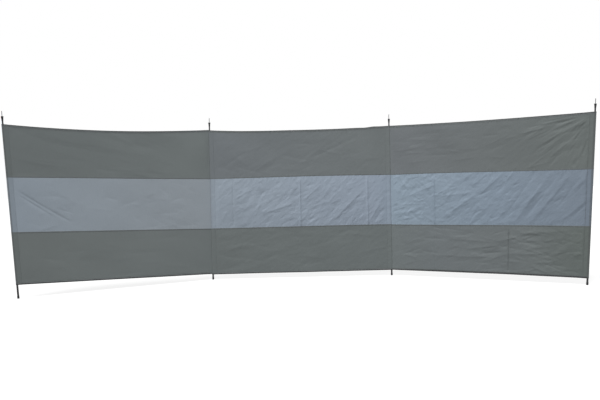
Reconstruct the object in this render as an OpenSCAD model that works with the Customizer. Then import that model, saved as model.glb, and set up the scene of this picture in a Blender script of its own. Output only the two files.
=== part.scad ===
// Beach windbreak: striped cloth in bays between slim two-part steel poles.
// Millimetres, +Z up, viewed from -Y. The origin is on the ground under the left inner pole.
// Each pole runs in a pocket sewn to the back of the cloth, and the end bays turn
// about the inner poles.

/* [Bays] */
// Length of one bay, from pole axis to pole axis
bay_length = 1740; // [1200:10:2400]
// Turn of the left bay towards the viewer, from straight
left_turn = 29; // [0:1:60]
// Turn of the right bay towards the viewer, from straight
right_turn = 29; // [0:1:60]
// Outward lean of the end poles, in the plane of their bays
end_lean = 3; // [0:0.5:6]

/* [Cloth] */
// Height of the cloth's lower edge above the ground
ground_gap = 54; // [30:1:150]
// Height of the lower dark band, from the edge to the seam
bottom_band_h = 443; // [250:1:600]
// Height of the light band, from seam to seam
middle_band_h = 478; // [250:1:600]
// Height of the upper dark band, from the seam to the edge
top_band_h = 480; // [250:1:600]
// Thickness of the cloth
cloth_t = 2; // [1:0.1:3]
// Sag of the top edge in the left bay
left_sag = 34; // [0:1:80]
// Sag of the top edge in the middle bay
middle_sag = 20; // [0:1:80]
// Sag of the top edge in the right bay
right_sag = 8; // [0:1:80]
// How far the lower dark band has ridden up the left end pole
left_rise = 62; // [0:1:100]
// Height of the folded hems
hem_h = 20; // [8:1:30]
// How far a hem stands out from each face of the cloth
hem_proud = 1; // [0.5:0.1:2]
// Height of the felled seams, where the dark bands lap over the light one
seam_h = 10; // [6:1:20]
// How far a seam stands out from the front of the cloth
seam_proud = 0.6; // [0.3:0.1:1.5]

/* [Pole pockets] */
// Wall of a pole pocket
pocket_t = 1.4; // [0.8:0.1:2]
// Width of the pocket from the pole axis to its stitched edge
pocket_w = 50; // [30:1:80]
// Room between a pole and its pocket
pocket_play = 0.6; // [0.3:0.1:0.9]

/* [Poles] */
// Length of upper tube that shows between the cloth and the cap
tube_show = 31; // [5:1:150]
// Outer diameter of the lower tube
lower_d = 16; // [14:0.5:22]
// Wall of the tubes
tube_t = 1.2; // [0.8:0.1:1.6]
// Room between the lower tube and the upper one, which slides in it
slide_play = 0.3; // [0.1:0.05:0.5]
// Height at which the lower tube ends
lower_top = 760; // [500:5:900]
// Length of the upper tube inside the lower one
tube_overlap = 120; // [60:5:200]

/* [Feet, caps and pins] */
// Height of the foot plug
foot_h = 24; // [15:1:30]
// Thickness of the plug under the tube
foot_floor = 6; // [3:0.5:10]
// Wall of the plug around the tube
foot_wall = 1; // [0.6:0.1:2]
// Height of the pole cap
cap_h = 36; // [25:1:50]
// Wall of the cap's neck around the tube
cap_wall = 0.8; // [0.6:0.1:2]
// How far the cap's rim stands out from its neck
cap_flare = 3; // [1:0.5:6]
// Height of the cap's rim
cap_rim = 4; // [2:0.5:8]
// Thickness of the cap over the end of the tube
cap_floor = 10; // [9:0.5:14]
// Room between a tube and its foot or cap, and between a pin and its cap
fit_play = 0.15; // [0.05:0.05:0.4]
// Diameter of the pin on a pole
pin_d = 5; // [4:0.5:7]
// Length of the pin above the cap
pin_l = 44; // [25:1:70]
// Depth of the pin's thicker root in the cap
pin_root = 8; // [4:0.5:8]
// How far the pin's root stands out from the pin
pin_shoulder = 1; // [0.5:0.1:2]
// Length of the pin's tapered tip
pin_tip = 4; // [2:0.5:8]

/* [Hidden] */
$fn = 96;

dark_cloth = "#686e6e";
light_cloth = "#858e97";
hem_cloth = "#54595a";
steel = "#4a4d4f";
pin_steel = "#9b9d9c";
black_plastic = "#232425";

// Heights of the four sewn lines at an inner pole: lower edge, lower seam, upper seam, top edge
line_h = [
    ground_gap,
    ground_gap + bottom_band_h,
    ground_gap + bottom_band_h + middle_band_h,
    ground_gap + bottom_band_h + middle_band_h + top_band_h
];
// Share of the rise at the left end pole that each sewn line takes up
rise_share = [1, 1, 0.5, 0];
pocket_r = lower_d/2 + pocket_play + pocket_t;
// Distance from a pole axis at which the cloth of a bay begins
cloth_start = pocket_r + pocket_play;
// Height of the flat top of a cap, along its pole
pole_h = line_h[3] + tube_show + cap_h;
upper_d = lower_d - 2*tube_t - 2*slide_play;
foot_r = lower_d/2 + fit_play + foot_wall;
cap_bore = upper_d/2 + fit_play;
cap_neck = cap_bore + cap_wall;
cap_r = cap_neck + cap_flare;
edge_round = 1;
sag_steps = 32;

// A bay: lean of its outer pole, rise at that pole, sag of its top edge
left_bay = [end_lean, left_rise, left_sag];
middle_bay = [0, 0, middle_sag];
right_bay = [end_lean, 0, right_sag];

// Height of sewn line i at share s of the way along a bay
function line_z(bay, i, s) =
    line_h[i] + bay[1]*rise_share[i]*s - (i == 3 ? 4*bay[2]*s*(1 - s) : 0);

// Distance along a bay at share s and height z, between the two pole pockets
function along(bay, s, z) =
    cloth_start + s*(bay_length + z*tan(bay[0]) - cloth_start/cos(bay[0]) - cloth_start);

// Points of a line that runs a distance d above sewn line i; only the top edge is curved
function line_points(bay, i, d) =
    let (n = i == 3 ? sag_steps : 1)
    [for (k = [0:n]) let (s = k/n, z = line_z(bay, i, s) + d) [along(bay, s, z), z]];

function backwards(list) = [for (k = [len(list) - 1:-1:0]) list[k]];

// Strip of cloth from d0 above line i0 to d1 above line i1
module strip(bay, i0, d0, i1, d1, front = 0, back = 0) {
    translate([0, cloth_t/2 + back, 0])
        rotate([90, 0, 0])
            linear_extrude(cloth_t + front + back)
                polygon(concat(line_points(bay, i0, d0), backwards(line_points(bay, i1, d1))));
}

module bottom_hem(bay) {
    color(hem_cloth) strip(bay, 0, 0, 0, hem_h, hem_proud, hem_proud);
}

module bottom_band(bay) {
    color(dark_cloth) strip(bay, 0, hem_h, 1, -seam_h);
}

module lower_seam(bay) {
    color(dark_cloth) strip(bay, 1, -seam_h, 1, 0, seam_proud);
}

module middle_band(bay) {
    color(light_cloth) strip(bay, 1, 0, 2, 0);
}

module upper_seam(bay) {
    color(dark_cloth) strip(bay, 2, 0, 2, seam_h, seam_proud);
}

module top_band(bay) {
    color(dark_cloth) strip(bay, 2, seam_h, 3, -hem_h);
}

module top_hem(bay) {
    color(hem_cloth) strip(bay, 3, -hem_h, 3, 0, hem_proud, hem_proud);
}

// Pocket around a pole from height z0 to z1, with its flap on the back of the cloth towards +X
module pocket(z0, z1) {
    clear = 2*hem_h + pocket_w*sin(end_lean);
    color(dark_cloth) difference() {
        union() {
            translate([0, 0, z0]) cylinder(r = pocket_r, h = z1 - z0);
            translate([0, cloth_t/2, z0 + clear]) cube([pocket_w, pocket_t, z1 - z0 - 2*clear]);
        }
        translate([0, 0, z0 - 1]) cylinder(r = pocket_r - pocket_t, h = z1 - z0 + 2);
    }
}

// Plug that closes the lower end of a pole
module foot() {
    bore = foot_r - foot_wall;
    color(black_plastic) rotate_extrude() polygon([
        [0, 0], [foot_r - edge_round, 0], [foot_r, edge_round], [foot_r, foot_h - edge_round],
        [foot_r - foot_wall/2, foot_h], [bore, foot_h], [bore, foot_floor], [0, foot_floor]
    ]);
}

module tube(d, z0, z1) {
    color(steel) difference() {
        translate([0, 0, z0]) cylinder(d = d, h = z1 - z0);
        translate([0, 0, z0 - 1]) cylinder(d = d - 2*tube_t, h = z1 - z0 + 2);
    }
}

module lower_tube() {
    tube(lower_d, foot_floor, lower_top);
}

module upper_tube() {
    tube(upper_d, lower_top - tube_overlap, pole_h - cap_floor);
}

// Cap over the top of a pole, flaring to a flat rim around the pin
module cap() {
    pin_bore = pin_d/2 + pin_shoulder + fit_play;
    color(black_plastic) translate([0, 0, pole_h]) rotate_extrude() polygon([
        [cap_bore, -cap_h], [cap_neck, -cap_h], [cap_neck + cap_flare/6, -0.6*cap_h], [cap_r, -cap_rim],
        [cap_r, -edge_round], [cap_r - edge_round, 0], [pin_bore, 0], [pin_bore, -pin_root],
        [0, -pin_root], [0, -cap_floor], [cap_bore, -cap_floor]
    ]);
}

// Pin on a cap, with a thicker root held in the cap and a blunt tip
module pin() {
    r = pin_d/2;
    color(pin_steel) translate([0, 0, pole_h]) rotate_extrude() polygon([
        [0, -pin_root], [r + pin_shoulder, -pin_root], [r + pin_shoulder, 0], [r, 0],
        [r, pin_l - pin_tip], [r/2, pin_l], [0, pin_l]
    ]);
}

// Places: a bay at its angle, and a pole at the end of it
module at_left() {
    mirror([1, 0, 0]) rotate([0, 0, -left_turn]) children();
}

module at_right() {
    translate([bay_length, 0, 0]) rotate([0, 0, -right_turn]) children();
}

module at_outer_pole() {
    lift = (foot_r - edge_round)*sin(end_lean);
    translate([bay_length, 0, lift]) rotate([0, end_lean, 0]) children();
}

module at_left_end() {
    at_left() at_outer_pole() children();
}

module at_right_end() {
    at_right() at_outer_pole() children();
}

module at_right_inner() {
    translate([bay_length, 0, 0]) children();
}

module left_end_pocket() {
    at_left_end() mirror([1, 0, 0]) pocket(line_z(left_bay, 0, 1), line_h[3]);
}

module left_inner_pocket() {
    pocket(line_h[0], line_h[3]);
}

module right_inner_pocket() {
    at_right_inner() mirror([1, 0, 0]) pocket(line_h[0], line_h[3]);
}

module right_end_pocket() {
    at_right_end() mirror([1, 0, 0]) pocket(line_h[0], line_h[3]);
}

at_left_end() foot();  // left_end_foot
at_left_end() lower_tube();  // left_end_lower_tube
at_left_end() upper_tube();  // left_end_upper_tube
at_left_end() cap();  // left_end_cap
at_left_end() pin();  // left_end_pin
foot();  // left_inner_foot
lower_tube();  // left_inner_lower_tube
upper_tube();  // left_inner_upper_tube
cap();  // left_inner_cap
pin();  // left_inner_pin
at_right_inner() foot();  // right_inner_foot
at_right_inner() lower_tube();  // right_inner_lower_tube
at_right_inner() upper_tube();  // right_inner_upper_tube
at_right_inner() cap();  // right_inner_cap
at_right_inner() pin();  // right_inner_pin
at_right_end() foot();  // right_end_foot
at_right_end() lower_tube();  // right_end_lower_tube
at_right_end() upper_tube();  // right_end_upper_tube
at_right_end() cap();  // right_end_cap
at_right_end() pin();  // right_end_pin
left_end_pocket();
left_inner_pocket();
right_inner_pocket();
right_end_pocket();
at_left() bottom_hem(left_bay);  // left_bottom_hem
at_left() bottom_band(left_bay);  // left_bottom_band
at_left() lower_seam(left_bay);  // left_lower_seam
at_left() middle_band(left_bay);  // left_middle_band
at_left() upper_seam(left_bay);  // left_upper_seam
at_left() top_band(left_bay);  // left_top_band
at_left() top_hem(left_bay);  // left_top_hem
bottom_hem(middle_bay);  // middle_bottom_hem
bottom_band(middle_bay);  // middle_bottom_band
lower_seam(middle_bay);  // middle_lower_seam
middle_band(middle_bay);  // middle_middle_band
upper_seam(middle_bay);  // middle_upper_seam
top_band(middle_bay);  // middle_top_band
top_hem(middle_bay);  // middle_top_hem
at_right() bottom_hem(right_bay);  // right_bottom_hem
at_right() bottom_band(right_bay);  // right_bottom_band
at_right() lower_seam(right_bay);  // right_lower_seam
at_right() middle_band(right_bay);  // right_middle_band
at_right() upper_seam(right_bay);  // right_upper_seam
at_right() top_band(right_bay);  // right_top_band
at_right() top_hem(right_bay);  // right_top_hem
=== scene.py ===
import math
import bpy
import numpy as np
from mathutils import Matrix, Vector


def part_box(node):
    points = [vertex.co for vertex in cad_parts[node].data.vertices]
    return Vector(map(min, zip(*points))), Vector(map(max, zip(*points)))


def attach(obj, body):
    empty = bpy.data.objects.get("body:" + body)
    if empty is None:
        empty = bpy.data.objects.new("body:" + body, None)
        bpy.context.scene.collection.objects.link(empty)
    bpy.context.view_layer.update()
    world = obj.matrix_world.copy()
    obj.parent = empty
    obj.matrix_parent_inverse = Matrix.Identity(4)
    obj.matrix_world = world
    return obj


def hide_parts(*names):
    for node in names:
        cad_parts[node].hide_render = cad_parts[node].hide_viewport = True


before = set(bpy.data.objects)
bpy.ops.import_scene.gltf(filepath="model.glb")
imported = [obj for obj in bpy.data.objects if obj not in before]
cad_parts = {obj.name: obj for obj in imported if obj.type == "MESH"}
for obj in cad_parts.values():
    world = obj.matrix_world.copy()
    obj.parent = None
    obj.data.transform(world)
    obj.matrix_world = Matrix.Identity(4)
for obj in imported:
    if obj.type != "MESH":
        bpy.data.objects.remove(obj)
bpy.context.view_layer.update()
bpy.ops.object.select_all(action="DESELECT")
print("frame loaded,", len(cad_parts), "nodes")


# the cloth's places, in metres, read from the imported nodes
def middleOf(node):
    low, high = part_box(node)
    return (low + high) / 2


def heightOf(node):
    low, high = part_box(node)
    return high.z - low.z


endFoot = middleOf("right_end_foot")
endCap = middleOf("right_end_cap")
bayLength = middleOf("right_inner_foot").x
turn = math.atan2(-endFoot.y, endFoot.x - bayLength)  # end bays turn towards the viewer
lean = math.atan2(math.hypot(endCap.x - endFoot.x, endCap.y - endFoot.y), endCap.z - endFoot.z)
hemHeight = heightOf("middle_bottom_hem")
seamHeight = heightOf("middle_lower_seam")
lineHeights = (  # lines 0 to 3, from the bottom edge up
    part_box("middle_bottom_hem")[0].z,
    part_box("middle_lower_seam")[1].z,
    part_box("middle_upper_seam")[0].z,
    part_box("middle_top_hem")[1].z,
)
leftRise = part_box("left_bottom_hem")[1].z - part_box("middle_bottom_hem")[1].z
riseShares = (1, 1, 0.5, 0)  # the bottom lines ride up at the left end, the top one doesn't
stripReach = (hemHeight, -seamHeight, seamHeight, -hemHeight)  # sewn strip at a line, up or down from it

# uvStart is the bay's first place on the whole length of cloth, uvWay the way it runs on from there
bays = {
    "left": {
        "poles": ("left_inner", "left_end"), "lean": lean, "rise": leftRise, "uvStart": 1.8, "uvWay": -1,
    },
    "middle": {
        "poles": ("left_inner", "right_inner"), "lean": 0, "rise": 0, "uvStart": 2, "uvWay": 1,
    },
    "right": {
        "poles": ("right_inner", "right_end"), "lean": lean, "rise": 0, "uvStart": 4, "uvWay": 1,
    },
}
for bay in bays:
    bays[bay]["sag"] = heightOf(bay + "_top_hem") - hemHeight


# x runs along the bay from its inner pole, y to the back, z up
def toWorld(bay, x, y, z):
    if bay == "middle":
        return np.stack((x, y, z), -1)
    worldX = x * math.cos(turn) + y * math.sin(turn)
    worldY = y * math.cos(turn) - x * math.sin(turn)
    if bay == "left":
        return np.stack((-worldX, worldY, z), -1)
    return np.stack((bayLength + worldX, worldY, z), -1)


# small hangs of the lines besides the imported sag: place and spread as shares of the bay, height in mm
lineHangs = {
    ("left", 3): [(0.00, 0.12, -3.5)],
    ("middle", 3): [(0.12, 0.28, -9.5), (0.70, 0.25, -2.5), (0.862, 0.025, -2.5), (0.912, 0.025, 3.0)],
    ("right", 3): [(0.35, 0.45, -2.5)],
    ("left", 2): [(1.00, 0.55, 8.0)],
    ("middle", 2): [(0.62, 0.42, 8.0)],
    ("right", 2): [(0.30, 0.35, 5.5)],
    ("middle", 1): [(0.75, 0.45, 4.0)],
    ("right", 1): [(0.72, 0.40, 5.0)],
    ("middle", 0): [(0.00, 0.20, -4.0), (0.50, 0.40, -3.0)],
    ("right", 0): [(0.60, 0.42, 7.0)],
}


def lineHeight(bay, line, share):
    z = lineHeights[line] + bays[bay]["rise"] * riseShares[line] * share
    if line == 3:  # only the top edge sags
        z = z - 4 * bays[bay]["sag"] * share * (1 - share)
    for place, spread, height in lineHangs.get((bay, line), ()):
        z = z + height / 1000 * np.exp(-(((share - place) / spread) ** 2))
    return z


def clothU(bay, u):
    # place along the whole windbreak, from the left end
    return bays[bay]["uvStart"] + bays[bay]["uvWay"] * u


def smoothStep(low, high, value):
    t = np.clip((value - low) / (high - low), 0, 1)
    return t * t * (3 - 2 * t)


# folds and wrinkles
# a fold runs from x, z to x, z in metres along its bay, then its height and width in mm
# below zero it is a valley, seen from the front
folds = {
    "left": [
        (1.690, 0.913, 1.460, 0.742, -3.0, 5),
        (1.690, 0.880, 1.400, 0.662, -2.7, 5),
        (1.510, 0.780, 1.270, 0.615, -2.8, 5),
        (1.390, 0.745, 1.240, 0.693, -1.4, 6),
        (0.55, 1.190, 1.66, 1.396, 0.8, 16),
        (0.70, 1.165, 1.55, 1.335, -0.7, 14),
        (0.20, 0.560, 0.60, 0.700, 0.7, 16),
        (0.35, 0.330, 1.20, 0.370, 0.6, 20),
    ],
    "middle": [
        (0.50, 0.630, 0.81, 0.726, 3.2, 12),
        (0.89, 0.750, 1.14, 0.955, 3.0, 11),
        (1.14, 0.510, 1.48, 0.845, 3.6, 11),
        (1.10, 0.560, 1.30, 0.760, -2.4, 12),
        (1.52, 0.520, 1.69, 0.785, 3.4, 10),
        (1.56, 0.510, 1.72, 0.710, -2.6, 10),
        (0.27, 0.735, 0.42, 0.895, 2.2, 10),
        (0.30, 0.505, 0.36, 0.560, 2.0, 9),
        (0.74, 0.760, 0.83, 0.905, 2.4, 9),
        (0.20, 0.640, 0.30, 0.880, 1.6, 12),
        (0.97, 1.150, 1.43, 1.355, -2.0, 11),
        (0.21, 1.210, 0.36, 1.095, 1.4, 11),
        (0.30, 0.250, 1.10, 0.290, 1.0, 18),
    ],
    "right": [
        (0.15, 0.755, 0.48, 0.895, 3.4, 11),
        (0.07, 0.800, 0.20, 0.950, 2.6, 9),
        (0.10, 0.930, 0.19, 0.830, 2.2, 9),
        (0.10, 0.690, 0.40, 0.700, 2.2, 12),
        (0.16, 0.590, 0.42, 0.610, 1.8, 12),
        (0.50, 0.560, 0.84, 0.800, 5.4, 13),
        (0.50, 0.790, 0.66, 0.930, 3.0, 12),
        (0.84, 0.780, 1.04, 0.965, 4.4, 11),
        (0.92, 0.720, 1.05, 0.860, -3.2, 10),
        (1.13, 0.510, 1.41, 0.935, 6.0, 20),
        (1.26, 0.510, 1.54, 0.880, 5.6, 18),
        (1.38, 0.630, 1.58, 0.940, 5.0, 17),
        (1.50, 0.525, 1.74, 0.745, 5.0, 18),
        (1.60, 0.800, 1.72, 0.930, 4.0, 14),
        (1.05, 0.540, 1.00, 0.500, 1.8, 12),
        (1.05, 0.560, 1.30, 0.955, -3.6, 9),
        (1.20, 0.515, 1.47, 0.915, -3.8, 9),
        (1.33, 0.550, 1.56, 0.900, -3.8, 9),
        (1.45, 0.600, 1.65, 0.905, -3.4, 9),
        (1.59, 0.560, 1.72, 0.700, -3.0, 8),
        (0.52, 0.375, 0.98, 0.345, 2.6, 9),
        (0.28, 0.372, 0.56, 0.362, -2.4, 8),
        (0.70, 0.275, 1.02, 0.320, 3.0, 10),
        (0.84, 0.235, 1.04, 0.262, -3.0, 9),
        (0.40, 0.215, 0.85, 0.205, 2.4, 10),
        (1.12, 0.245, 1.42, 0.250, 2.6, 9),
        (1.15, 0.430, 1.60, 0.455, 2.0, 9),
    ],
}

# sharp upright creases left by storage: x, lowest and highest z in metres, height and width in mm
creases = {
    "left": [(0.41, 0.50, 0.97, 0.5, 9), (1.04, 0.50, 0.97, -0.6, 9)],
    "middle": [(0.212, 0.49, 0.97, -3.0, 9), (0.863, 0.49, 0.97, 6.4, 9), (1.517, 0.49, 0.97, 6.2, 9)],
    "right": [
        (0.435, 0.49, 0.97, 6.5, 6), (0.435, 0.06, 0.46, 2.0, 6), (1.095, 0.06, 0.46, -7.0, 6),
        (1.100, 0.50, 0.75, 1.5, 10), (1.690, 0.10, 1.40, 3.0, 8),
    ],
}

# loose small wrinkles: where, how they lie in degrees, their length in metres, height and width in mm
looseWrinkles = {
    "left": [
        {"count": 34, "x": (0.1, 1.6), "z": (0.53, 0.95), "lie": (-20, 50), "length": (0.08, 0.25),
         "height": 1.3, "width": (8, 14)},
        {"count": 26, "x": (0.1, 1.7), "z": (1.02, 1.40), "lie": (0, 30), "length": (0.15, 0.45),
         "height": 1.2, "width": (9, 16)},
        {"count": 18, "x": (0.1, 1.7), "z": (0.10, 0.46), "lie": (-15, 15), "length": (0.15, 0.45),
         "height": 0.8, "width": (9, 16)},
    ],
    "middle": [
        {"count": 70, "x": (0.1, 1.0), "z": (0.53, 0.95), "lie": (0, 65), "length": (0.06, 0.20),
         "height": 2.0, "width": (6, 11)},
        {"count": 80, "x": (0.9, 1.7), "z": (0.51, 0.95), "lie": (10, 65), "length": (0.05, 0.20),
         "height": 1.8, "width": (5, 10)},
        {"count": 130, "x": (0.1, 1.7), "z": (0.51, 0.96), "lie": (10, 75), "length": (0.03, 0.10),
         "height": 1.6, "width": (3, 5)},
        {"count": 16, "x": (0.1, 1.7), "z": (0.53, 0.95), "lie": (75, 100), "length": (0.06, 0.18),
         "height": 2.0, "width": (6, 10)},
        {"count": 36, "x": (0.1, 1.7), "z": (1.02, 1.40), "lie": (-20, 40), "length": (0.12, 0.40),
         "height": 1.4, "width": (7, 14)},
        {"count": 44, "x": (0.1, 1.7), "z": (0.10, 0.46), "lie": (-15, 20), "length": (0.12, 0.40),
         "height": 1.6, "width": (7, 13)},
    ],
    "right": [
        {"count": 80, "x": (0.05, 0.9), "z": (0.52, 0.96), "lie": (0, 65), "length": (0.05, 0.20),
         "height": 2.3, "width": (5, 10)},
        {"count": 130, "x": (0.05, 1.15), "z": (0.51, 0.96), "lie": (0, 75), "length": (0.03, 0.10),
         "height": 2.3, "width": (3, 5)},
        {"count": 36, "x": (0.05, 0.6), "z": (0.52, 0.96), "lie": (-50, 0), "length": (0.05, 0.14),
         "height": 2.0, "width": (5, 9)},
        {"count": 14, "x": (0.05, 1.1), "z": (0.52, 0.90), "lie": (75, 100), "length": (0.06, 0.16),
         "height": 1.5, "width": (6, 10)},
        {"count": 64, "x": (0.8, 1.7), "z": (0.52, 0.96), "lie": (30, 70), "length": (0.06, 0.24),
         "height": 2.4, "width": (6, 11)},
        {"count": 30, "x": (0.1, 1.1), "z": (1.02, 1.40), "lie": (-12, 18), "length": (0.10, 0.32),
         "height": 1.8, "width": (6, 12)},
        {"count": 20, "x": (0.9, 1.6), "z": (1.02, 1.40), "lie": (10, 40), "length": (0.10, 0.32),
         "height": 1.8, "width": (6, 12)},
        {"count": 80, "x": (0.1, 1.7), "z": (0.09, 0.47), "lie": (-18, 25), "length": (0.07, 0.26),
         "height": 2.0, "width": (5, 9)},
        {"count": 30, "x": (1.25, 1.69), "z": (0.09, 0.46), "lie": (-25, 30), "length": (0.05, 0.18),
         "height": 2.5, "width": (4, 8)},
        {"count": 50, "x": (1.05, 1.69), "z": (0.09, 0.46), "lie": (-30, 35), "length": (0.03, 0.10),
         "height": 1.7, "width": (3, 5)},
        {"count": 14, "x": (0.1, 1.7), "z": (0.12, 0.45), "lie": (70, 110), "length": (0.05, 0.12),
         "height": 1.6, "width": (6, 9)},
    ],
}

# wrinkles that fan out of the right end pole's top corner, in the same units
cornerFan = {
    "count": 80, "x": 1.738, "z": 1.452, "spread": 0.03, "lie": (10, 84),
    "near": (0.06, 0.42), "length": (0.08, 0.30), "lowest": 1.0,
    "height": 2.6, "width": (3, 5),
}

drape = {
    "belly": {"left": 0.006, "middle": 0.004, "right": -0.012},  # how far the bay fills to the back
    "edgeBelly": 0.35,  # share of the belly at the top and bottom edges
    "bulge": {"left": 0.0008, "middle": 0.0060, "right": 0.0025},  # the light band stands out by this
    "swell": {"left": 0.0005, "middle": 0.0008, "right": 0.0010},  # height of the slow waves
    "waveCount": 7,
    "wavePitch": (0.28, 0.8),
    "pucker": {"left": 0.00015, "middle": 0.0004, "right": 0.0005},  # gathers along the sewn lines
    "puckerReach": 0.022,
    "puckerCount": 5,
    "puckerPitch": (0.017, 0.045),
    "leastHeight": 0.4,  # share of its kind's height that the flattest loose wrinkle has
    "crestRound": 2.5,  # mm
    "skew": 2.2,  # a fold's upper flank is wider than its lower one
    "foldTaper": 0.7,  # how bluntly a fold runs out at its ends
    "creaseEnds": (0.02, 0.05),  # a crease fades in from this far outside its end to this far inside
    "settle": {"left": 0.06, "middle": 0.05, "right": 0.022},  # the wrinkles fade out over this at a pole
    "settleEnd": -0.006,  # and are gone here, from the stitch line
    "heldShare": 0.25,  # what is left of a wrinkle inside a hem or seam
    "heldReach": 0.018,
    "seeds": {"left": 11, "middle": 23, "right": 37, "fan": 5},
}

slowWaves, puckers = {}, {}
for bay in bays:
    draw = np.random.default_rng(drape["seeds"][bay])
    for kind in looseWrinkles[bay]:
        for _ in range(kind["count"]):
            x, z = draw.uniform(*kind["x"]), draw.uniform(*kind["z"])
            lie, half = math.radians(draw.uniform(*kind["lie"])), draw.uniform(*kind["length"]) / 2
            height = kind["height"] * draw.uniform(drape["leastHeight"], 1) * draw.choice((1, -1))
            runX, runZ = half * math.cos(lie), half * math.sin(lie)
            width = draw.uniform(*kind["width"])
            folds[bay].append((x - runX, z - runZ, x + runX, z + runZ, height, width))
    slowWaves[bay] = [
        (draw.uniform(0, 2 * math.pi), draw.uniform(*drape["wavePitch"]), draw.uniform(0, math.pi))
        for _ in range(drape["waveCount"])
    ]
    puckers[bay] = [
        (draw.uniform(0, 2 * math.pi), draw.uniform(*drape["puckerPitch"]))
        for _ in range(drape["puckerCount"])
    ]
draw = np.random.default_rng(drape["seeds"]["fan"])
for _ in range(cornerFan["count"]):
    lie = math.radians(draw.uniform(*cornerFan["lie"]))
    cornerX = cornerFan["x"] + draw.uniform(-1, 1) * cornerFan["spread"]
    cornerZ = cornerFan["z"] + draw.uniform(-1, 1) * cornerFan["spread"]
    near = draw.uniform(*cornerFan["near"])
    far = min(near + draw.uniform(*cornerFan["length"]), (cornerZ - cornerFan["lowest"]) / math.sin(lie))
    height = cornerFan["height"] * draw.uniform(drape["leastHeight"], 1) * draw.choice((1, -1))
    farX, farZ = cornerX - far * math.cos(lie), cornerZ - far * math.sin(lie)
    nearX, nearZ = cornerX - near * math.cos(lie), cornerZ - near * math.sin(lie)
    folds["right"].append((farX, farZ, nearX, nearZ, height, draw.uniform(*cornerFan["width"])))


def standProud(bay, x, z):
    # how far the cloth stands out to the front at x, z
    share = np.clip(x / bayLength, 0, 1)
    upShare = np.clip((z - lineHeights[0]) / (lineHeights[3] - lineHeights[0]), 0, 1)
    out = 0
    for x1, z1, x2, z2, height, width in folds[bay]:
        length = math.hypot(x2 - x1, z2 - z1)
        along = ((x - x1) * (x2 - x1) + (z - z1) * (z2 - z1)) / length**2
        across = ((x - x1) * (z2 - z1) - (z - z1) * (x2 - x1)) / length * 1000
        flank = width * np.where(across < 0, drape["skew"], 1)
        crest = np.exp((drape["crestRound"] - np.hypot(across, drape["crestRound"])) / flank)
        out = out + height / 1000 * crest * np.sin(math.pi * np.clip(along, 0, 1)) ** drape["foldTaper"]
    before, within = drape["creaseEnds"]
    for place, low, high, height, width in creases[bay]:
        shown = smoothStep(low - before, low + within, z)
        shown = shown * (1 - smoothStep(high - within, high + before, z))
        out = out + height / 1000 * np.exp(-np.abs(x - place) * 1000 / width) * shown
    held = 1
    for line, reach in enumerate(stripReach):
        away = np.abs(z - lineHeight(bay, line, share) - reach / 2) - abs(reach) / 2
        free = smoothStep(0, drape["heldReach"], away)
        held = held * (drape["heldShare"] + (1 - drape["heldShare"]) * free)
    fill = drape["edgeBelly"] + (1 - drape["edgeBelly"]) * np.sin(math.pi * upShare)
    out = out * held - drape["belly"][bay] * np.sin(math.pi * share) * fill
    bandShare = (z - lineHeight(bay, 1, share)) / (lineHeight(bay, 2, share) - lineHeight(bay, 1, share))
    out = out + drape["bulge"][bay] * 4 * np.clip(bandShare * (1 - bandShare), 0, None)
    for phase, pitch, way in slowWaves[bay]:
        out = out + drape["swell"][bay] * np.sin(
            phase + 2 * math.pi / pitch * (x * math.cos(way) + z * math.sin(way))
        )
    gathers = sum(np.sin(phase + 2 * math.pi * x / pitch) for phase, pitch in puckers[bay])
    for line in range(len(lineHeights)):
        near = np.exp(-np.abs(z - lineHeight(bay, line, share)) / drape["puckerReach"])
        out = out + drape["pucker"][bay] * gathers * near
    return out


# plan of the cloth: it runs flat between the poles and passes round the front of the pole in its pocket
plan = {
    "wrapRadius": 0.0096,  # middle of the cloth round the pole
    "stitchReach": 0.038,  # pocket stitch line from the pole's middle
    "corner": 0.012,  # soft bend at the stitch line
    "frontShift": 0.006,  # the cloth runs past the front of the poles, the pockets bulge to the back
    "arcSteps": 16,
    "bendSteps": 7,
    "edgeShift": {"left": 0, "middle": 0.0095, "right": -0.004},  # the painted shade at the turned edge is narrower or wider
    "plainEdge": 0.012,  # and hardly shows in the middle bay's bottom band
    "softEdge": ((0.012, 0.040), (0.0196, 0.022)),  # but trails off over this in its light band
    "innerStart": 0.0099,  # an end bay's cloth starts at the inner pole's pocket, its hems a little later
    "hemStart": 0.0102,
    "innerSettle": 0.05,  # an end bay's wrinkles fade out over this at its inner pole
    "lipTurn": 25,  # degrees the first edge of an end bay's cloth turns back behind the pole's side
    "creaseStep": 0.003,  # grid step at a crease
    "creaseRoom": 0.005,  # no other grid line is nearer to it than this
    "snug": 0.35,  # share of their thickness the hems and seams lose round a pole
    "snugReach": (-0.01, 0.02),  # where they get it back, from the stitch line
    "pocketShadeEnd": (-0.008, 0.006),  # where the painted shade over the pocket strip stops, from the stitch line
    "pocketShade": {"left": 1.0, "middle": 0.08, "right": 0.75},  # how far painted shade darkens the cloth over the pocket strip, where two layers let less light through
    "sewn": {"left": 0.35, "middle": 0.08, "right": 1.0},  # how far the stitch line shows, its thread and the painted shade along it
    "thick": 0.0008,
}


def wrapCurve(side):
    # from the pole's outer side round its front (-1) or back (1) to the stitch line, pole at zero
    r, reach, corner, shift = plan["wrapRadius"], plan["stitchReach"], plan["corner"], plan["frontShift"]
    tangent = math.acos(r / math.hypot(reach, shift)) - side * math.atan2(shift, reach)
    angles = np.linspace(math.pi, tangent, plan["arcSteps"])
    points = [np.array((r * math.cos(a), side * r * math.sin(a))) for a in angles]
    stitch = np.array((reach, -shift))
    away = (stitch - points[-1]) / np.linalg.norm(stitch - points[-1])
    bendStart = stitch - corner * away
    shares = np.linspace(0, 1, plan["bendSteps"])
    points += [points[-1] + (bendStart - points[-1]) * t for t in shares[1:-1]]
    bendEnd = stitch + np.array((corner, 0))
    for t in shares:
        points.append((1 - t) ** 2 * bendStart + 2 * t * (1 - t) * stitch + t**2 * bendEnd)
    return np.array(points)


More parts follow.
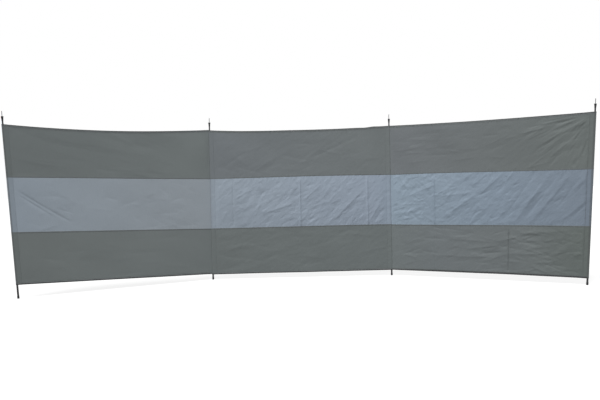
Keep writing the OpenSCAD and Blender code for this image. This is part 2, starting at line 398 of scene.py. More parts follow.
def lipCurve():
    # round the inner pole from behind to where the flat cloth starts, so no gap shows at any swing
    first, r = math.radians(-plan["lipTurn"]), math.hypot(plan["innerStart"], plan["frontShift"])
    angles = np.linspace(first, math.atan2(plan["frontShift"], plan["innerStart"]), plan["bendSteps"])
    return r * np.stack((np.cos(angles), -np.sin(angles)), -1)


def planOf(bay, step, innerStart, lipped):
    wrap = wrapCurve(-1)
    farWrap = wrap[::-1] * (-1, 1) + (bayLength, 0)
    start = wrap[-1, 0] if bay == "middle" else innerStart
    end = farWrap[0, 0]
    flat = np.linspace(start, end, round((end - start) / step) + 1)
    creaseLines = np.array((-1, 0, 1)) * plan["creaseStep"]
    for place in {crease[0] for crease in creases[bay]}:
        flat = np.concatenate((flat[np.abs(flat - place) > plan["creaseRoom"]], place + creaseLines))
    flat = np.sort(flat)
    flat = np.stack((flat, np.full(len(flat), -plan["frontShift"])), -1)
    parts = [wrap[:-1], flat, farWrap[1:]] if bay == "middle" else [flat, farWrap[1:]]
    lipped = lipped and bay != "middle"
    if lipped:
        parts.insert(0, lipCurve()[:-1])
    points = np.concatenate(parts)
    steps = np.linalg.norm(np.diff(points, axis=0), axis=1)
    u = np.concatenate(((0,), np.cumsum(steps)))
    if lipped:
        u = u - u[len(parts[0])]
    way = np.gradient(points, u, axis=0)
    way /= np.linalg.norm(way, axis=1)[:, None]
    wrapLength = np.linalg.norm(np.diff(wrap, axis=0), axis=1).sum() - plan["corner"]
    fromEnd = u[-1] - u
    fromPocket = np.minimum(u, fromEnd) if bay == "middle" else fromEnd
    flapEdge = fromPocket - wrapLength
    settle = smoothStep(drape["settleEnd"], drape["settle"][bay], flapEdge)
    if bay != "middle":
        settle = settle * smoothStep(0, plan["innerSettle"], points[:, 0] - plan["innerStart"])
    return {
        "x": points[:, 0],
        "y": points[:, 1],
        "frontX": way[:, 1],
        "frontY": -way[:, 0],
        "u": u,
        "wrapEnd": fromPocket + plan["edgeShift"][bay],
        "flapEdge": flapEdge,
        "pocketShade": (1 - smoothStep(*plan["pocketShadeEnd"], flapEdge)) * plan["pocketShade"][bay],
        "sewn": np.full(len(u), plan["sewn"][bay]),
        "settle": settle,
    }


def layCloth(bay, run, column, offset, z):
    # world places of cloth points: columns along the plan, offset to the front, height z
    x, y = run["x"][column], run["y"][column]
    out = standProud(bay, x, z) * run["settle"][column]
    leanShare = np.clip(x / (bayLength - plan["stitchReach"] - plan["corner"]), 0, 1)
    leanShift = z * math.tan(bays[bay]["lean"]) * leanShare
    placeX = x + offset * run["frontX"][column] + leanShift
    placeY = y + offset * run["frontY"][column] - out
    return toWorld(bay, placeX, placeY, z)


# mesh helpers
smoothAngle = math.radians(50)


def meshPiece(name, points, faces, uv, marks):
    mesh = bpy.data.meshes.new(name)
    mesh.from_pydata(points.tolist(), [], faces)
    corners = np.empty(len(mesh.loops), np.int32)
    mesh.loops.foreach_get("vertex_index", corners)
    layer = mesh.uv_layers.new(name="cloth")
    layer.data.foreach_set("uv", uv[corners].ravel())
    for mark, values in marks.items():
        layer = mesh.attributes.new(mark, "FLOAT", "POINT")
        layer.data.foreach_set("value", values.astype(np.float32))
    piece = bpy.data.objects.new(name, mesh)
    bpy.context.scene.collection.objects.link(piece)
    bpy.ops.object.select_all(action="DESELECT")
    piece.select_set(True)
    bpy.context.view_layer.objects.active = piece
    return piece


def finishSheet(piece, thickness):
    wall = piece.modifiers.new("wall", "SOLIDIFY")
    wall.thickness = thickness
    wall.offset = 0
    bpy.ops.object.modifier_apply(modifier=wall.name)
    bpy.ops.object.shade_smooth_by_angle(angle=smoothAngle)


def sheetPiece(name, points, uv, marks, flip, thickness):
    rows, columns = points.shape[:2]
    index = np.arange(rows * columns).reshape(rows, columns)
    quads = np.stack((index[:-1, :-1], index[:-1, 1:], index[1:, 1:], index[1:, :-1]), -1).reshape(-1, 4)
    if flip:
        quads = quads[:, ::-1]
    flatMarks = {mark: values.ravel() for mark, values in marks.items()}
    piece = meshPiece(name, points.reshape(-1, 3), quads.tolist(), uv.reshape(-1, 2), flatMarks)
    finishSheet(piece, thickness)
    return piece


def stripPiece(name, rings, uv, marks):
    # a closed strip: rings of section points, joined one to the next, with both ends capped
    count, sides = rings.shape[:2]
    index = np.arange(count * sides).reshape(count, sides)
    after = np.roll(index, -1, axis=1)
    quads = np.stack((index[:-1], after[:-1], after[1:], index[1:]), -1).reshape(-1, 4).tolist()
    faces = quads + [index[0].tolist(), index[-1].tolist()]
    flatMarks = {mark: values.ravel() for mark, values in marks.items()}
    piece = meshPiece(name, rings.reshape(-1, 3), faces, uv.reshape(-1, 2), flatMarks)
    bpy.ops.object.mode_set(mode="EDIT")
    bpy.ops.mesh.select_all(action="SELECT")
    bpy.ops.mesh.normals_make_consistent(inside=False)
    bpy.ops.object.mode_set(mode="OBJECT")
    bpy.ops.object.shade_smooth_by_angle(angle=smoothAngle)
    return piece


# node helpers
def addNode(tree, kind, **settings):
    node = tree.nodes.new(kind)
    for key, value in settings.items():
        setattr(node, key, value)
    return node


def plug(tree, socket, value):
    if isinstance(value, bpy.types.NodeSocket):
        tree.links.new(value, socket)
    else:
        socket.default_value = value


def mathOut(tree, operation, *values):
    node = addNode(tree, "ShaderNodeMath", operation=operation)
    for socket, value in zip(node.inputs, values):
        plug(tree, socket, value)
    return node.outputs[0]


def rangeOut(tree, value, low, high, toLow, toHigh, kind="LINEAR"):
    node = addNode(tree, "ShaderNodeMapRange", interpolation_type=kind)
    for socket, given in zip(node.inputs, (value, low, high, toLow, toHigh)):
        plug(tree, socket, given)
    return node.outputs[0]


def mixColour(tree, mask, first, second):
    node = addNode(tree, "ShaderNodeMix", data_type="RGBA")
    plug(tree, node.inputs[0], mask)
    plug(tree, node.inputs[6], first)
    plug(tree, node.inputs[7], second)
    return node.outputs[2]


def shadeColour(tree, colour, factor):
    # colour times a grey factor
    node = addNode(tree, "ShaderNodeVectorMath", operation="SCALE")
    plug(tree, node.inputs[0], colour)
    plug(tree, node.inputs["Scale"], factor)
    return node.outputs[0]


def newGroup(name, inputs, outputs):
    tree = bpy.data.node_groups.new(name, "ShaderNodeTree")
    for label, kind in inputs:
        tree.interface.new_socket(label, in_out="INPUT", socket_type=kind)
    for label, kind in outputs:
        tree.interface.new_socket(label, in_out="OUTPUT", socket_type=kind)
    return tree, addNode(tree, "NodeGroupInput").outputs, addNode(tree, "NodeGroupOutput").inputs


def useGroup(tree, group, **values):
    node = addNode(tree, "ShaderNodeGroup", node_tree=group)
    for label, value in values.items():
        plug(tree, node.inputs[label], value)
    return node.outputs


def noiseOut(tree, place, scale, detail, rough=0.5, stretch=None):
    if stretch:
        lay = addNode(tree, "ShaderNodeMapping")
        plug(tree, lay.inputs["Vector"], place)
        lay.inputs["Scale"].default_value = stretch
        place = lay.outputs[0]
    noise = addNode(tree, "ShaderNodeTexNoise")
    plug(tree, noise.inputs["Vector"], place)
    noise.inputs["Scale"].default_value = scale
    noise.inputs["Detail"].default_value = detail
    noise.inputs["Roughness"].default_value = rough
    return noise.outputs["Fac"]


# shared effects, places in metres on the cloth
scalar, colour, vector = "NodeSocketFloat", "NodeSocketColor", "NodeSocketVector"

weave, given, result = newGroup(
    "plainWeave", [("Place", vector), ("Thread", scalar)], [("Height", scalar), ("Tone", scalar)]
)
split = addNode(weave, "ShaderNodeSeparateXYZ")
plug(weave, split.inputs[0], given["Place"])
turns = mathOut(weave, "DIVIDE", 2 * math.pi, given["Thread"])
warp = mathOut(weave, "SINE", mathOut(weave, "MULTIPLY", split.outputs[0], turns))
weft = mathOut(weave, "SINE", mathOut(weave, "MULTIPLY", split.outputs[1], turns))
warpSlub = noiseOut(weave, given["Place"], 1, 2, stretch=(650, 14, 1))
weftSlub = noiseOut(weave, given["Place"], 1, 2, stretch=(14, 650, 1))
slub = mathOut(weave, "MULTIPLY", mathOut(weave, "ADD", warpSlub, weftSlub), 0.5)
crossing = mathOut(weave, "MULTIPLY", warp, weft)
plug(weave, result["Tone"], slub)
plug(weave, result["Height"], mathOut(weave, "MULTIPLY_ADD", crossing, 0.25, slub))

crumple, given, result = newGroup(
    "fineCrumple", [("Place", vector), ("Lie", scalar)], [("Height", scalar)]
)
spin = addNode(crumple, "ShaderNodeVectorRotate", rotation_type="Z_AXIS")
plug(crumple, spin.inputs["Vector"], given["Place"])
plug(crumple, spin.inputs["Angle"], mathOut(crumple, "MULTIPLY", given["Lie"], -1))
longWrinkle = noiseOut(crumple, spin.outputs[0], 1, 3, 0.55, stretch=(10, 24, 1))
shortWrinkle = noiseOut(crumple, spin.outputs[0], 1, 3, 0.6, stretch=(30, 44, 1))
plug(crumple, result["Height"], mathOut(crumple, "MULTIPLY_ADD", shortWrinkle, 0.4, longWrinkle))

patchTone, given, result = newGroup(
    "patchyTone", [("Color", colour), ("Place", vector), ("Amount", scalar)], [("Color", colour)]
)
broad = noiseOut(patchTone, given["Place"], 2.1, 3)
small = noiseOut(patchTone, given["Place"], 16, 3)
patch = mathOut(patchTone, "MULTIPLY_ADD", small, 0.5, broad)
centred = mathOut(patchTone, "SUBTRACT", patch, 0.75)
factor = mathOut(patchTone, "MULTIPLY_ADD", centred, given["Amount"], 1)
plug(patchTone, result["Color"], shadeColour(patchTone, given["Color"], factor))

stitchRow, given, result = newGroup(
    "stitchRow",
    [("Across", scalar), ("Along", scalar), ("Pitch", scalar), ("Width", scalar)],
    [("Thread", scalar), ("Dent", scalar)],
)
off = mathOut(stitchRow, "ABSOLUTE", given["Across"])
onLine = mathOut(stitchRow, "LESS_THAN", off, given["Width"])
beat = mathOut(stitchRow, "FRACT", mathOut(stitchRow, "DIVIDE", given["Along"], given["Pitch"]))
onStitch = mathOut(stitchRow, "LESS_THAN", beat, 0.72)  # the rest of the pitch is the gap
plug(stitchRow, result["Thread"], mathOut(stitchRow, "MULTIPLY", onLine, onStitch))
wide = mathOut(stitchRow, "MULTIPLY", given["Width"], 4)
plug(stitchRow, result["Dent"], rangeOut(stitchRow, off, 0, wide, 1, 0, "SMOOTHSTEP"))


def newMaterial(name):
    material = bpy.data.materials.new(name)
    material.use_nodes = True
    tree = material.node_tree
    return material, tree, tree.nodes["Principled BSDF"]


def clothPlace(tree):
    place = addNode(tree, "ShaderNodeUVMap", uv_map="cloth").outputs[0]
    split = addNode(tree, "ShaderNodeSeparateXYZ")
    plug(tree, split.inputs[0], place)
    return place, split.outputs[0], split.outputs[1]


def markOut(tree, name):
    return addNode(tree, "ShaderNodeAttribute", attribute_name=name).outputs["Fac"]


def addBump(tree, shader, height, strength, distance):
    bump = addNode(tree, "ShaderNodeBump")
    bump.inputs["Strength"].default_value = strength
    bump.inputs["Distance"].default_value = distance
    plug(tree, bump.inputs["Height"], height)
    plug(tree, shader.inputs["Normal"], bump.outputs[0])


clothLook = {
    # place along the windbreak in metres, from the left end, and the colour there; the stops carry painted
    # light and shade, each bay lighter, darker or bluer for how it faces the lamps and sky
    "top": [(0.10, (0.133, 0.151, 0.152)), (1.75, (0.156, 0.177, 0.177)), (2.05, (0.141, 0.157, 0.168)),
            (3.80, (0.141, 0.158, 0.160)), (4.05, (0.137, 0.150, 0.159)), (5.00, (0.123, 0.137, 0.139)),
            (5.70, (0.117, 0.133, 0.130))],
    "bottom": [(0.10, (0.139, 0.157, 0.156)), (1.75, (0.159, 0.180, 0.181)), (2.05, (0.126, 0.143, 0.143)),
               (3.80, (0.135, 0.154, 0.155)), (4.50, (0.137, 0.154, 0.161)), (5.20, (0.130, 0.146, 0.149)),
               (5.70, (0.106, 0.123, 0.117))],
    "light": [(0.10, (0.254, 0.297, 0.343)), (0.55, (0.264, 0.304, 0.344)), (1.25, (0.266, 0.301, 0.334)),
              (1.75, (0.285, 0.320, 0.353)), (2.05, (0.252, 0.294, 0.342)),
              (2.90, (0.255, 0.300, 0.357)), (3.60, (0.252, 0.298, 0.361)), (4.05, (0.230, 0.287, 0.346)),
              (5.00, (0.190, 0.236, 0.290)), (5.70, (0.160, 0.195, 0.238))],
    "length": 6,
    "hem": (0.132, 0.146, 0.148, 1),
    # the threads' colour, also the colour that the painted shades darken towards
    "threadAndShade": (0.060, 0.064, 0.066, 1),
    "edge": 0.50,  # how far the painted shade at a pole's turned edge darkens
    "edgeReach": (0.016, 0.022),  # it fades out over this, from the outer edge
    "fold": (0.030, 0.032, 0.033, 1),  # painted shade at the hem's folded outer edge
    "lowTone": 0.955,  # the cloth is a little darker near the ground
    "threadPitch": 0.0016,
    "stitch": 0.0045,
    "stitchWidth": 0.0007,
    "hemStitchWidth": 0.0008,
    "crumpleLie": 42,  # degrees
    "leftCrumple": 0.3,  # the left bay lies smoother
}


# cloth colour along its length, with painted light and shade from bay to bay
def toneAndPaintedShadeAlong(tree, along, stops):
    ramp = addNode(tree, "ShaderNodeValToRGB")
    plug(tree, ramp.inputs[0], mathOut(tree, "DIVIDE", along, clothLook["length"]))
    for place, _ in stops[1:-1]:
        ramp.color_ramp.elements.new(place / clothLook["length"])
    ramp.color_ramp.elements[0].position = stops[0][0] / clothLook["length"]
    ramp.color_ramp.elements[-1].position = stops[-1][0] / clothLook["length"]
    for element, (_, shade) in zip(ramp.color_ramp.elements, stops):
        element.color = shade + (1,)
    return ramp.outputs[0]


def byThread(tree, woven, low, high):
    # a value that follows the threads of the weave
    return rangeOut(tree, woven["Tone"], 0.3, 0.7, low, high)


def paintedTurnShade(tree):
    # painted shade where the cloth turns round a pole
    fromEnd = markOut(tree, "wrapEnd")
    return rangeOut(tree, fromEnd, *clothLook["edgeReach"], clothLook["edge"], 0, "SMOOTHSTEP")


def clothMaterial(name, stops, crumpleAmount, pocketShadeFactor, sewnShow):
    # the fourth argument is the painted shade over a pocket strip, the fifth how far the stitch line there
    # shows, its thread and the painted shade along it
    material, tree, shader = newMaterial(name)
    shader.inputs["Specular IOR Level"].default_value = 0.3
    shader.inputs["Sheen Weight"].default_value = 0.08
    place, along, up = clothPlace(tree)
    woven = useGroup(tree, weave, Place=place, Thread=clothLook["threadPitch"])
    lowTone = rangeOut(tree, up, 0.1, 1.2, clothLook["lowTone"], 1)
    # colour along the length, with painted light and shade from bay to bay
    base = shadeColour(tree, toneAndPaintedShadeAlong(tree, along, stops), lowTone)
    toned = useGroup(tree, patchTone, Color=base, Place=place, Amount=0.10)["Color"]
    toned = shadeColour(tree, toned, byThread(tree, woven, 0.96, 1.04))
    # painted shade over the pocket strip
    pocketShaded = rangeOut(tree, markOut(tree, "pocketShade"), 0, 1, 1, pocketShadeFactor)
    toned = shadeColour(tree, toned, pocketShaded)
    flap = markOut(tree, "flapEdge")
    shown = mathOut(tree, "MULTIPLY", markOut(tree, "sewn"), sewnShow)
    # painted shade along the stitch line, where the stitch pulls the cloth in
    stitchShadeMask = rangeOut(tree, mathOut(tree, "ABSOLUTE", flap), 0.001, 0.006, 0.12, 0, "SMOOTHSTEP")
    paintedStitchShade = mathOut(tree, "MULTIPLY_ADD", mathOut(tree, "MULTIPLY", stitchShadeMask, shown), -1, 1)
    toned = shadeColour(tree, toned, paintedStitchShade)
    pitch, width = clothLook["stitch"], clothLook["stitchWidth"]
    sewn = useGroup(tree, stitchRow, Across=flap, Along=up, Pitch=pitch, Width=width)
    threads = mathOut(tree, "MULTIPLY", sewn["Thread"], mathOut(tree, "MULTIPLY", shown, 0.8))
    # the thread, and painted shade at the turned edge
    dark = mathOut(tree, "MAXIMUM", threads, paintedTurnShade(tree))
    plug(tree, shader.inputs["Base Color"], mixColour(tree, dark, toned, clothLook["threadAndShade"]))
    plug(tree, shader.inputs["Roughness"], byThread(tree, woven, 0.66, 0.80))
    wrinkled = useGroup(tree, crumple, Place=place, Lie=math.radians(clothLook["crumpleLie"]))
    amount = rangeOut(tree, along, 1.8, 2.2, crumpleAmount * clothLook["leftCrumple"], crumpleAmount)
    height = mathOut(tree, "MULTIPLY", woven["Height"], 0.05)
    height = mathOut(tree, "MULTIPLY_ADD", wrinkled["Height"], amount, height)
    height = mathOut(tree, "SUBTRACT", height, mathOut(tree, "MULTIPLY", sewn["Dent"], 0.3))
    addBump(tree, shader, height, 1, 0.004)
    return material


def hemMaterial(name, lines, edgeDepth, deepFrom=5.0, deepTo=5.7):
    # lines are the stitch rows and edgeDepth the width of the painted shade at the folded edge, in metres
    # from the strip's outer edge
    material, tree, shader = newMaterial(name)
    shader.inputs["Specular IOR Level"].default_value = 0.25
    place, along, depth = clothPlace(tree)
    woven = useGroup(tree, weave, Place=place, Thread=clothLook["threadPitch"])
    toned = useGroup(tree, patchTone, Color=clothLook["hem"], Place=place, Amount=0.16)["Color"]
    toned = shadeColour(tree, toned, byThread(tree, woven, 0.93, 1.07))
    deeper = rangeOut(tree, along, deepFrom, deepTo, 1, 1.5)  # the painted edge shade grows towards the right end
    # painted shade along the folded outer edge
    fromEdge = mathOut(tree, "DIVIDE", depth, mathOut(tree, "MULTIPLY", deeper, edgeDepth))
    edge = rangeOut(tree, fromEdge, 0.6, 1, 0.9, 0, "SMOOTHSTEP")
    toned = mixColour(tree, edge, toned, clothLook["fold"])
    dark = paintedTurnShade(tree)
    rowShow = rangeOut(tree, along, 1.8, 4.0, 0.45, 1.1)  # the rows show less in the left bay
    dent = 0.0
    pitch, width = clothLook["stitch"], clothLook["hemStitchWidth"]
    for line in lines:
        across = mathOut(tree, "SUBTRACT", depth, line)
        sewn = useGroup(tree, stitchRow, Across=across, Along=along, Pitch=pitch, Width=width)
        # painted shade in the stitch dent
        paintedDentShade = mathOut(tree, "MULTIPLY", sewn["Dent"], 0.12)
        threads = mathOut(tree, "MULTIPLY", sewn["Thread"], 0.7)
        rowDark = mathOut(tree, "MULTIPLY", mathOut(tree, "MAXIMUM", threads, paintedDentShade), rowShow)
        dark = mathOut(tree, "MAXIMUM", dark, rowDark)
        dent = mathOut(tree, "ADD", sewn["Dent"], dent)
    plug(tree, shader.inputs["Base Color"], mixColour(tree, dark, toned, clothLook["threadAndShade"]))
    plug(tree, shader.inputs["Roughness"], byThread(tree, woven, 0.70, 0.84))
    height = mathOut(tree, "MULTIPLY_ADD", dent, -0.4, mathOut(tree, "MULTIPLY", woven["Height"], 0.08))
    addBump(tree, shader, height, 0.7, 0.0015)
    return material


topCloth = clothMaterial("topCloth", clothLook["top"], 0.5, 0.95, 0.45)
bottomCloth = clothMaterial("bottomCloth", clothLook["bottom"], 0.6, 0.95, 0.45)
lightCloth = clothMaterial("lightCloth", clothLook["light"], 0.95, 0.90, 0.9)
topHemCloth = hemMaterial("topHemCloth", (0.017,), 0.0070)
bottomHemCloth = hemMaterial("bottomHemCloth", (0.017,), 0.0120, 3.9, 4.4)
seamCloth = hemMaterial("seamCloth", (0.0022, 0.0078), 0.0010)
print("cloth materials made")

# bands of cloth: from a line and a height above it to the next line and a height above that, in metres
tuck = 0.004  # the cloth runs on inside its hems and seams
# a band with fine wrinkles has a finer grid step
bands = {
    "bottom": {
        "from": (0, hemHeight - tuck), "to": (1, tuck - seamHeight),
        "look": bottomCloth, "slot": "dark_cloth",
        "step": {"left": 0.009, "middle": 0.009, "right": 0.0060},
    },
    "middle": {
        "from": (1, -tuck), "to": (2, tuck),
        "look": lightCloth, "slot": "light_cloth",
        "step": {"left": 0.006, "middle": 0.0052, "right": 0.0052},
    },
    "top": {
        "from": (2, seamHeight - tuck), "to": (3, tuck - hemHeight),
        "look": topCloth, "slot": "dark_cloth",
        "step": {"left": 0.009, "middle": 0.008, "right": 0.0058},
    },
}

# folded strips: section points are offset to the front and depth from the outer edge, in mm
hemSection = [
    (0.95, 20), (0.75, 18.2), (0.70, 17), (0.75, 15.8), (1.05, 14), (1.10, 8), (1.00, 2.5), (0.75, 0.6),
    (0, 0), (-0.75, 0.6), (-1.00, 2.5), (-1.05, 10), (-0.95, 15.8), (-0.70, 17), (-0.90, 20),
]
seamSection = [
    (0.45, 0), (0.85, 0.6), (0.72, 2.2), (1.00, 4), (1.00, 6), (0.72, 7.8), (0.85, 9.4), (0.45, 10),
    (-0.45, 10), (-0.85, 9.4), (-0.80, 7.8), (-0.95, 5), (-0.80, 2.2), (-0.85, 0.6), (-0.45, 0),
]
# which line a strip hangs on, and the way its depth runs from the line's outer edge
strips = {
    "bottom_hem": {"line": 0, "above": 0, "way": 1, "section": hemSection, "look": bottomHemCloth},
    "lower_seam": {"line": 1, "above": -seamHeight, "way": 1, "section": seamSection, "look": seamCloth},
    "upper_seam": {"line": 2, "above": 0, "way": 1, "section": seamSection, "look": seamCloth},
    "top_hem": {"line": 3, "above": 0, "way": -1, "section": hemSection, "look": topHemCloth},
}
stripsOnBand = {"bottom": ("bottom_hem",), "middle": ("lower_seam", "upper_seam"), "top": ("top_hem",)}


def makeStrip(bay, name, step):
    strip, run = strips[name], planOf(bay, step, plan["hemStart"], False)
    section = np.array(strip["section"]) / 1000
    column = np.arange(len(run["u"]))[:, None] + np.zeros(len(section), int)
    share = np.clip(run["x"] / bayLength, 0, 1)[:, None]
    z = lineHeight(bay, strip["line"], share) + strip["above"] + strip["way"] * section[:, 1]
    stand = 1 - plan["snug"] * (1 - smoothStep(*plan["snugReach"], run["flapEdge"]))
    rings = layCloth(bay, run, column, section[:, 0] * stand[:, None], z)
    uv = np.stack((clothU(bay, run["u"])[:, None] + 0 * z, section[:, 1] + 0 * z), -1)
    marks = {"wrapEnd": run["wrapEnd"][:, None] + 0 * z}
    piece = stripPiece(bay + "_" + name + "_cloth", rings, uv, marks)
    piece.data.materials.append(strip["look"])
    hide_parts(bay + "_" + name)
    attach(piece, bay + "_bay")
    return piece


def makeBand(bay, name):
    band = bands[name]
    step = band["step"][bay]
    run = planOf(bay, step, plan["innerStart"], True)
    share = np.clip(run["x"] / bayLength, 0, 1)
    low = lineHeight(bay, band["from"][0], share) + band["from"][1]
    high = lineHeight(bay, band["to"][0], share) + band["to"][1]
    rows = round((high - low).max() / step) + 1
    up = np.linspace(0, 1, rows)[:, None]
    z = low + (high - low) * up
    column = np.zeros((rows, 1), int) + np.arange(len(run["u"]))
    points = layCloth(bay, run, column, 0 * z, z)
    uv = np.stack((clothU(bay, run["u"])[column], z), -1)
    marks = {mark: run[mark][column] for mark in ("flapEdge", "wrapEnd", "pocketShade", "sewn")}
    if bay == "middle" and name == "bottom":
        marks["wrapEnd"] = marks["wrapEnd"] + plan["plainEdge"]
    if bay == "middle" and name == "middle":
        fromPocket = marks["wrapEnd"] - plan["edgeShift"][bay]
        marks["wrapEnd"] = np.minimum(marks["wrapEnd"], np.interp(fromPocket, *plan["softEdge"]))
    piece = sheetPiece(bay + "_" + name + "_cloth", points, uv, marks, bay == "left", plan["thick"])
    piece.data.materials.append(band["look"])
    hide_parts(bay + "_" + name + "_band")
    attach(piece, bay + "_bay")
    return piece, (run["u"][-1] - run["u"][0], (high - low).max())


for bay in bays:
    for band in bands:
        piece, cut = makeBand(bay, band)
        sewnOn = [makeStrip(bay, strip, bands[band]["step"][bay]) for strip in stripsOnBand[band]]
    print(bay, "bay made")

# pockets: a strip sewn on the back, round the pole from its outer side to the stitch line
pocket = {
    "allowance": 0.006,  # cloth past the stitch line
    "lap": 0.0016,  # how far the strip runs in under the front cloth
    "lapSteps": 4,
    "tuckRadius": 0.00875,
    "gap": 0.0001,  # between the flap and the back of the front cloth
    "rowStep": 0.012,
    "hem": 0.0006,
    "ripple": 0.00035,
    "rippleCount": 5,
    "ripplePitch": (0.05, 0.25),
    "rippleSlant": (-60, 60),
    "looseFrom": (0.020, 0.032),  # the ripples come in and go out over these, from either edge
    "looseTo": (0.008, 0.020),
    "seed": 5,
}
pocketCloth = clothMaterial("pocketCloth", clothLook["top"], 0.4, 1, 1)
pockets = {
    "left_end": ("left", "far"),
    "left_inner": ("middle", "near"),
    "right_inner": ("middle", "far"),
    "right_end": ("right", "far"),
}


def makePocket(pole):
    bay, end = pockets[pole]
    curve = wrapCurve(1)
    curve = curve[curve[:, 0] < plan["stitchReach"]]
    lap = np.linspace(pocket["lap"] / plan["wrapRadius"], 0, pocket["lapSteps"])
    lapRadius = np.interp(lap, (0, lap[0]), (plan["wrapRadius"], pocket["tuckRadius"]))
    under = np.stack((-np.cos(lap) * lapRadius, -np.sin(lap) * lapRadius), -1)[:-1]
    backFace = plan["thick"] + pocket["gap"]  # the flap lies on the back of the front cloth
    flapX = np.linspace(plan["stitchReach"], plan["stitchReach"] + pocket["allowance"], 3)
    flap = np.stack((flapX, np.full(3, backFace - plan["frontShift"])), -1)
    lift = np.interp(curve[:, 0], (0, plan["stitchReach"]), (0, backFace))
    curve = np.concatenate((under, curve + np.stack((0 * lift, lift), -1), flap))
    if end == "far":
        curve = curve[::-1] * (-1, 1) + (bayLength, 0)
    u = np.concatenate(((0,), np.cumsum(np.linalg.norm(np.diff(curve, axis=0), axis=1))))
    share = np.clip(curve[:, 0] / bayLength, 0, 1)
    low, high = lineHeight(bay, 0, share) + pocket["hem"], lineHeight(bay, 3, share) - pocket["hem"]
    rows = round((high - low).max() / pocket["rowStep"]) + 1
    z = low + (high - low) * np.linspace(0, 1, rows)[:, None]
    draw = np.random.default_rng(len(pole) + pocket["seed"])
    ripple = 0
    for _ in range(pocket["rippleCount"]):
        phase = draw.uniform(0, 6) + 2 * math.pi * z / draw.uniform(*pocket["ripplePitch"])
        ripple = ripple + np.sin(phase + u * draw.uniform(*pocket["rippleSlant"]))
    loose = smoothStep(*pocket["looseFrom"], u) * smoothStep(*pocket["looseTo"], u[-1] - u)
    if end == "far":
        loose = loose[::-1]
    x = curve[:, 0] + z * math.tan(bays[bay]["lean"]) * (1 if end == "far" else 0)
    y = curve[:, 1] + pocket["ripple"] * np.abs(ripple) * loose
    points = toWorld(bay, x, y, z)
    uv = np.stack((clothU(bay, u) + 0 * z, z), -1)
    full = np.ones(points.shape[:2])
    if end == "near":
        flapEdge = u[-1] - pocket["allowance"] - u + 0 * z
    else:
        flapEdge = u - pocket["allowance"] + 0 * z
    marks = {"flapEdge": flapEdge, "wrapEnd": full, "pocketShade": 0 * full, "sewn": full}
    piece = sheetPiece(pole + "_pocket_cloth", points, uv, marks, bay == "left", plan["thick"])
    piece.data.materials.append(pocketCloth)
    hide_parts(pole + "_pocket")
    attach(piece, bay + "_bay")
    return piece


for pole in pockets:
    makePocket(pole)
print("pockets made")


# finishes of the pole pieces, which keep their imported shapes
poleLook = {
    "coat": (0.022, 0.023, 0.024, 1),
    "wornCoat": (0.090, 0.090, 0.088, 1),
    "zinc": ((0.035, 0.036, 0.038, 1), (0.070, 0.071, 0.073, 1)),
    "zincTint": (0.2, 0.2, 0.2, 1),
    "moulding": (0.017, 0.018, 0.019, 1),
}


def solidPlace(tree):
    return addNode(tree, "ShaderNodeTexCoord").outputs["Object"]


def paintedSteel():
    material, tree, shader = newMaterial("poleCoat")
    shader.inputs["Specular IOR Level"].default_value = 0.3
    place = solidPlace(tree)
    mottled = useGroup(tree, patchTone, Color=poleLook["coat"], Place=place, Amount=0.5)["Color"]
    scratch = noiseOut(tree, place, 1, 4, 0.6, stretch=(420, 420, 18))
    worn = rangeOut(tree, scratch, 0.66, 0.74, 0, 0.5)
    plug(tree, shader.inputs["Base Color"], mixColour(tree, worn, mottled, poleLook["wornCoat"]))
    plug(tree, shader.inputs["Roughness"], rangeOut(tree, scratch, 0.3, 0.7, 0.38, 0.55))
    addBump(tree, shader, noiseOut(tree, place, 900, 2), 0.15, 0.0002)
    return material


def zincSteel():
    material, tree, shader = newMaterial("pinZinc")
    shader.inputs["Metallic"].default_value = 1
    shader.inputs["Specular Tint"].default_value = poleLook["zincTint"]
    place = solidPlace(tree)
    brushed = noiseOut(tree, place, 1, 3, 0.6, stretch=(300, 300, 2200))
    bright = rangeOut(tree, brushed, 0.3, 0.7, 0, 1)
    plug(tree, shader.inputs["Base Color"], mixColour(tree, bright, *poleLook["zinc"]))
    plug(tree, shader.inputs["Roughness"], rangeOut(tree, brushed, 0.3, 0.7, 0.32, 0.5))
    addBump(tree, shader, brushed, 0.2, 0.0002)
    return material


def mouldedPlastic():
    material, tree, shader = newMaterial("blackMoulding")
    shader.inputs["Specular IOR Level"].default_value = 0.3
    place = solidPlace(tree)
    grain = noiseOut(tree, place, 1400, 2)
    toned = useGroup(tree, patchTone, Color=poleLook["moulding"], Place=place, Amount=0.6)["Color"]
    plug(tree, shader.inputs["Base Color"], toned)
    plug(tree, shader.inputs["Roughness"], rangeOut(tree, grain, 0.3, 0.7, 0.48, 0.66))
    addBump(tree, shader, grain, 0.25, 0.0002)
    return material


poleCoat, pinZinc, blackMoulding = paintedSteel(), zincSteel(), mouldedPlastic()
poleFinishes = {
    "foot": blackMoulding,
    "lower_tube": poleCoat,
    "upper_tube": poleCoat,
    "cap": blackMoulding,
    "pin": pinZinc,
}
for pole in pockets:
    for part, finish in poleFinishes.items():
        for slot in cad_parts[pole + "_" + part].material_slots:
            slot.material = finish
print("pole finishes set")

# floor, light and camera
studio = {
    "ambient": 0.545,
    "key": {"strength": 3.75, "aim": (29.7, 0, -33), "spread": 20},  # high up, to the left of the camera
    "side": {"strength": 0.9, "aim": (51.5, 0, 93), "spread": 30},  # from the right, onto the left bay
    "floorShade": 0.20,
    "floorSize": 120,
    "floorBack": 20,  # the floor's middle lies this far behind the poles
}


def shownWhite(tree):
    # 1 where the camera, or a metal or clear surface, sees it straight
    ray = addNode(tree, "ShaderNodeLightPath")
    seen = mathOut(tree, "MAXIMUM", ray.outputs["Is Camera Ray"], ray.outputs["Is Glossy Ray"])
    return mathOut(tree, "MAXIMUM", seen, ray.outputs["Is Transmission Ray"])


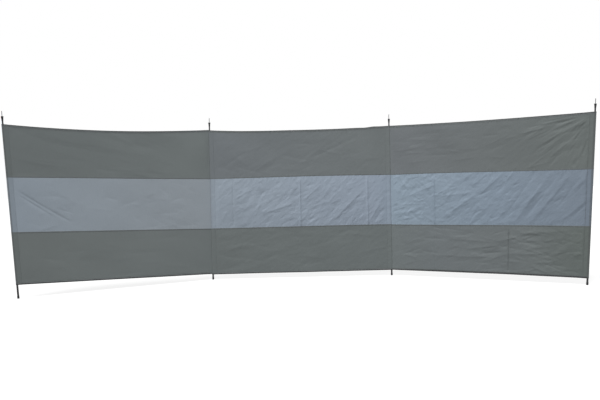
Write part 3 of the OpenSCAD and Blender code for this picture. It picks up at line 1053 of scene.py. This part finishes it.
bpy.ops.mesh.primitive_plane_add(size=studio["floorSize"], location=(bayLength / 2, studio["floorBack"], 0))
floor = bpy.context.object
floor.name = "floor"
floorPaint = bpy.data.materials.new("floorPaint")
floorPaint.use_nodes = True
tree = floorPaint.node_tree
tree.nodes.clear()
matt = addNode(tree, "ShaderNodeBsdfDiffuse")
matt.inputs["Color"].default_value = (studio["floorShade"],) * 3 + (1,)
white = addNode(tree, "ShaderNodeEmission")
plug(tree, white.inputs["Strength"], mathOut(tree, "MULTIPLY", shownWhite(tree), 1 - studio["floorShade"]))
both = addNode(tree, "ShaderNodeAddShader")
plug(tree, both.inputs[0], matt.outputs[0])
plug(tree, both.inputs[1], white.outputs[0])
plug(tree, addNode(tree, "ShaderNodeOutputMaterial").inputs[0], both.outputs[0])
floor.data.materials.append(floorPaint)

world = bpy.data.worlds.new("studio")
bpy.context.scene.world = world
world.use_nodes = True
tree = world.node_tree
sky = tree.nodes["Background"]
sky.inputs["Color"].default_value = (1, 1, 1, 1)
plug(tree, sky.inputs["Strength"], rangeOut(tree, shownWhite(tree), 0, 1, studio["ambient"], 1))

for lampName in ("key", "side"):
    lamp = studio[lampName]
    bpy.ops.object.light_add(type="SUN", location=(bayLength / 2, -4, 5))
    sun = bpy.context.object
    sun.name = lampName
    sun.data.energy = lamp["strength"]
    sun.data.angle = math.radians(lamp["spread"])
    sun.rotation_euler = [math.radians(a) for a in lamp["aim"]]

shot = {
    "place": (0.8043, -6.1362, 0.8888),
    "yaw": -0.53, "pitch": -1.2612, "roll": 1.2793,  # degrees
    "lens": 37.904, "sensor": 36,
}
bpy.ops.object.camera_add(location=shot["place"])
camera = bpy.context.object
camera.data.lens = shot["lens"]
camera.data.sensor_width = shot["sensor"]
aim = Matrix.Identity(4)
for angle, axis in ((shot["yaw"], "Z"), (shot["pitch"], "X"), (shot["roll"], "Y"), (90, "X")):
    aim = aim @ Matrix.Rotation(math.radians(angle), 4, axis)
camera.rotation_euler = aim.to_euler()
bpy.context.scene.camera = camera
bpy.context.scene.view_settings.view_transform = "Standard"
